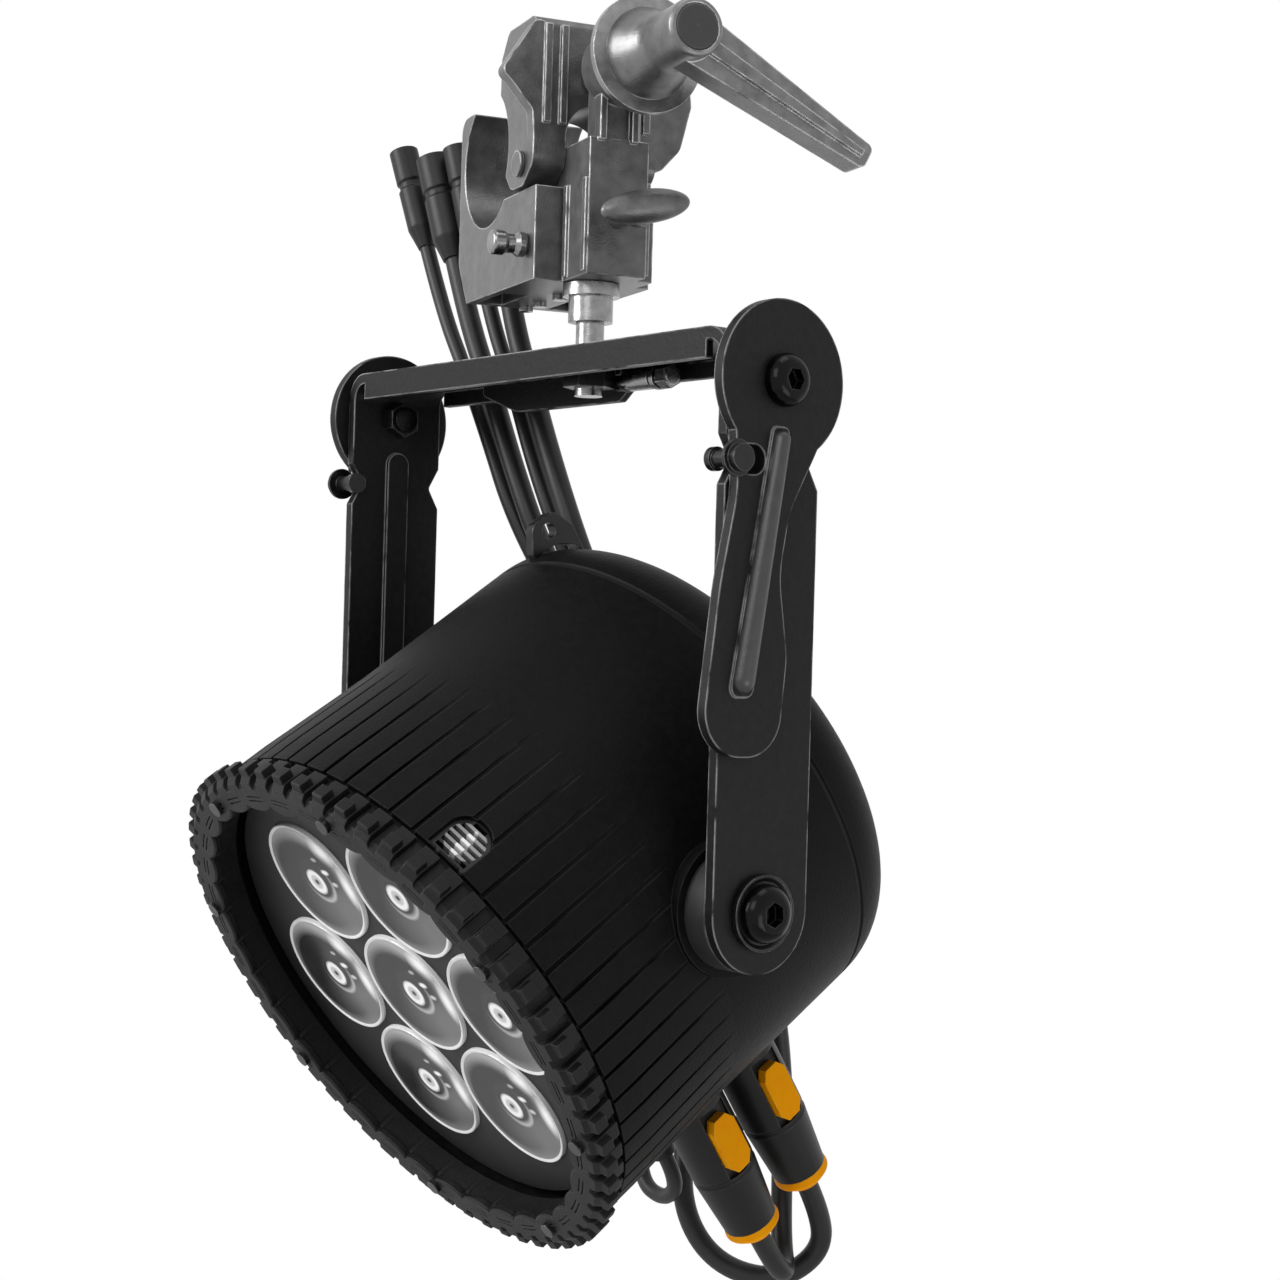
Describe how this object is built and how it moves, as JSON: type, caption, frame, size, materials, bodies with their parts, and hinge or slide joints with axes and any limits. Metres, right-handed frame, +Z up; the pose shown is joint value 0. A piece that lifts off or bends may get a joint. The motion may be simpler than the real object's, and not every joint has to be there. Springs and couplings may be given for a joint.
{
  "type": "par can light",
  "caption": "Stage par can light: ribbed black can tilting in a bent yoke with swing-out feet, on a lever pipe clamp, with power and data cables plugged in underneath.",
  "frame": {"origin": "on the axis of the pipe that the clamp grips, at the middle of the clamp's saddle", "axes": "+Z up, the can's tilt axis along X, the light faces -Y and is tilted nose down; the pipe runs horizontally, 75 degrees from +X towards +Y"},
  "size_m": [0.2756, 0.2766, 0.4793],
  "materials": {
    "housing_paint": "semi-matt black powder coat",
    "yoke_paint": "semi-matt black powder coat, worn at the edges",
    "clamp_paint": "tumbled casting, dark grey, worn bright at the edges",
    "lever_alloy": "cast, dull",
    "plated_steel": "bright zinc plate",
    "black_steel": "black oxide",
    "spacer_plastic": "smooth dark grey",
    "vent_metal": "bright slats",
    "lens_plate_plastic": "black",
    "lens": "clear moulded",
    "led": "white package with a pale dome",
    "circuit_board": "green solder mask",
    "heat_sink_alloy": "as extruded",
    "gasket_rubber": "matt",
    "connector_plastic": "fine satin grain",
    "latch_yellow": "yellow, moulded",
    "cable_rubber": "dull, slightly dusty"
  },
  "bodies": {
    "clamp": {"clamp_body": "clamp_paint", "jaw_pin": "plated_steel", "base_screws": "plated_steel"},
    "jaw": {"clamp_jaw": "clamp_paint"},
    "washer": {"thrust_washer": "plated_steel"},
    "lever": {"clamp_screw": "plated_steel", "lever_arm": "lever_alloy", "lever_cap": "spacer_plastic"},
    "wing": {"wing_screw": "lever_alloy"},
    "release": {"release_pin": "plated_steel"},
    "yoke": {"yoke": "yoke_paint", "stud": "plated_steel", "stud_nuts": "black_steel", "yoke_stiffener": "yoke_paint", "stiffener_bolt": "plated_steel", "corner_bolts": "black_steel", "corner_nuts": "black_steel", "power_couplers": "connector_plastic", "data_couplers": "connector_plastic"},
    "foot_left": {"foot_left": "yoke_paint", "foot_lock_left": "black_steel"},
    "foot_right": {"foot_right": "yoke_paint", "foot_lock_right": "black_steel"},
    "latch_1": {"plug_latch_1": "latch_yellow"},
    "latch_2": {"plug_latch_2": "latch_yellow"},
    "head": {"can_body": "housing_paint", "rear_cover": "housing_paint", "bezel": "housing_paint", "tilt_washers": "black_steel", "bezel_screws": "black_steel", "rear_screws": "black_steel", "tilt_bolts": "black_steel", "safety_eye": "black_steel", "pivot_spacers": "spacer_plastic", "vent_grille": "vent_metal", "lens_plate": "lens_plate_plastic", "lens_1": "lens", "lens_2": "lens", "lens_3": "lens", "lens_4": "lens", "lens_5": "lens", "lens_6": "lens", "lens_7": "lens", "led_modules": "led", "led_board": "circuit_board", "driver_board": "circuit_board", "heat_sink": "heat_sink_alloy", "front_gasket": "gasket_rubber", "rear_gasket": "gasket_rubber", "power_sockets": "connector_plastic", "data_sockets": "connector_plastic", "power_plug_1": "connector_plastic", "power_plug_2": "connector_plastic", "data_plug_1": "connector_plastic", "data_plug_2": "connector_plastic", "plug_rings": "latch_yellow", "power_cable_1": "cable_rubber", "power_cable_2": "cable_rubber", "data_cable_1": "cable_rubber", "data_cable_2": "cable_rubber"}
  },
  "joints": [
    {"name": "lever_turn", "type": "hinge", "parent": "washer", "child": "lever", "pos_m": [0.09659, -0.02588, 0.0205], "axis": [0.9659, -0.2588, 0], "range_deg": [0, 1260]},
    {"name": "screw_advance", "type": "slide", "parent": "clamp", "child": "washer", "axis": [0.9659, -0.2588, 0], "range_m": [0, 0.0105]},
    {"name": "jaw_swing", "type": "hinge", "parent": "clamp", "child": "jaw", "pos_m": [0.03671, -0.00983, -0.009], "axis": [0.2588, 0.9659, 0], "range_deg": [0, 14.81]},
    {"name": "wing_turn", "type": "hinge", "parent": "clamp", "child": "wing", "pos_m": [0.08693, -0.02329, -0.031], "axis": [0.9659, -0.2588, 0], "range_deg": [0, 720]},
    {"name": "release_pull", "type": "slide", "parent": "clamp", "child": "release", "axis": [-0.2588, -0.9659, 0], "range_m": [0, 0.008], "stiffness_N_per_m": 500, "springref_m": -0.006},
    {"name": "pan", "type": "hinge", "parent": "clamp", "child": "yoke", "pos_m": [0.0483, -0.01294, -0.0623], "axis": [0, 0, 1], "range_deg": [-90, 90], "deforming": ["power_cable_1", "power_cable_2", "data_cable_1", "data_cable_2", "power_couplers", "data_couplers"]},
    {"name": "tilt", "type": "hinge", "parent": "yoke", "child": "head", "pos_m": [0.0333, -0.01294, -0.2623], "axis": [1, 0, 0], "range_deg": [-90, 56.5], "deforming": ["power_cable_1", "power_cable_2", "data_cable_1", "data_cable_2"]},
    {"name": "foot_swing_left", "type": "hinge", "parent": "yoke", "child": "foot_left", "pos_m": [0.1483, -0.01294, -0.0923], "axis": [1, 0, 0], "range_deg": [-90, 0]},
    {"name": "foot_swing_right", "type": "hinge", "parent": "yoke", "child": "foot_right", "pos_m": [-0.0817, -0.01294, -0.0923], "axis": [1, 0, 0], "range_deg": [-90, 0]},
    {"name": "latch_slide_1", "type": "slide", "parent": "head", "child": "latch_1", "axis": [0, 0.5519, -0.8339], "range_m": [0, 0.002], "stiffness_N_per_m": 400, "springref_m": -0.003},
    {"name": "latch_slide_2", "type": "slide", "parent": "head", "child": "latch_2", "axis": [0, 0.5519, -0.8339], "range_m": [0, 0.002], "stiffness_N_per_m": 400, "springref_m": -0.003}
  ],
  "couplings": [
    {"joint": "screw_advance", "follows": "lever_turn", "m_per_rad": 0.00047746},
    {"joint": "jaw_swing", "follows": "lever_turn", "ratio": 0.011746}
  ]
}
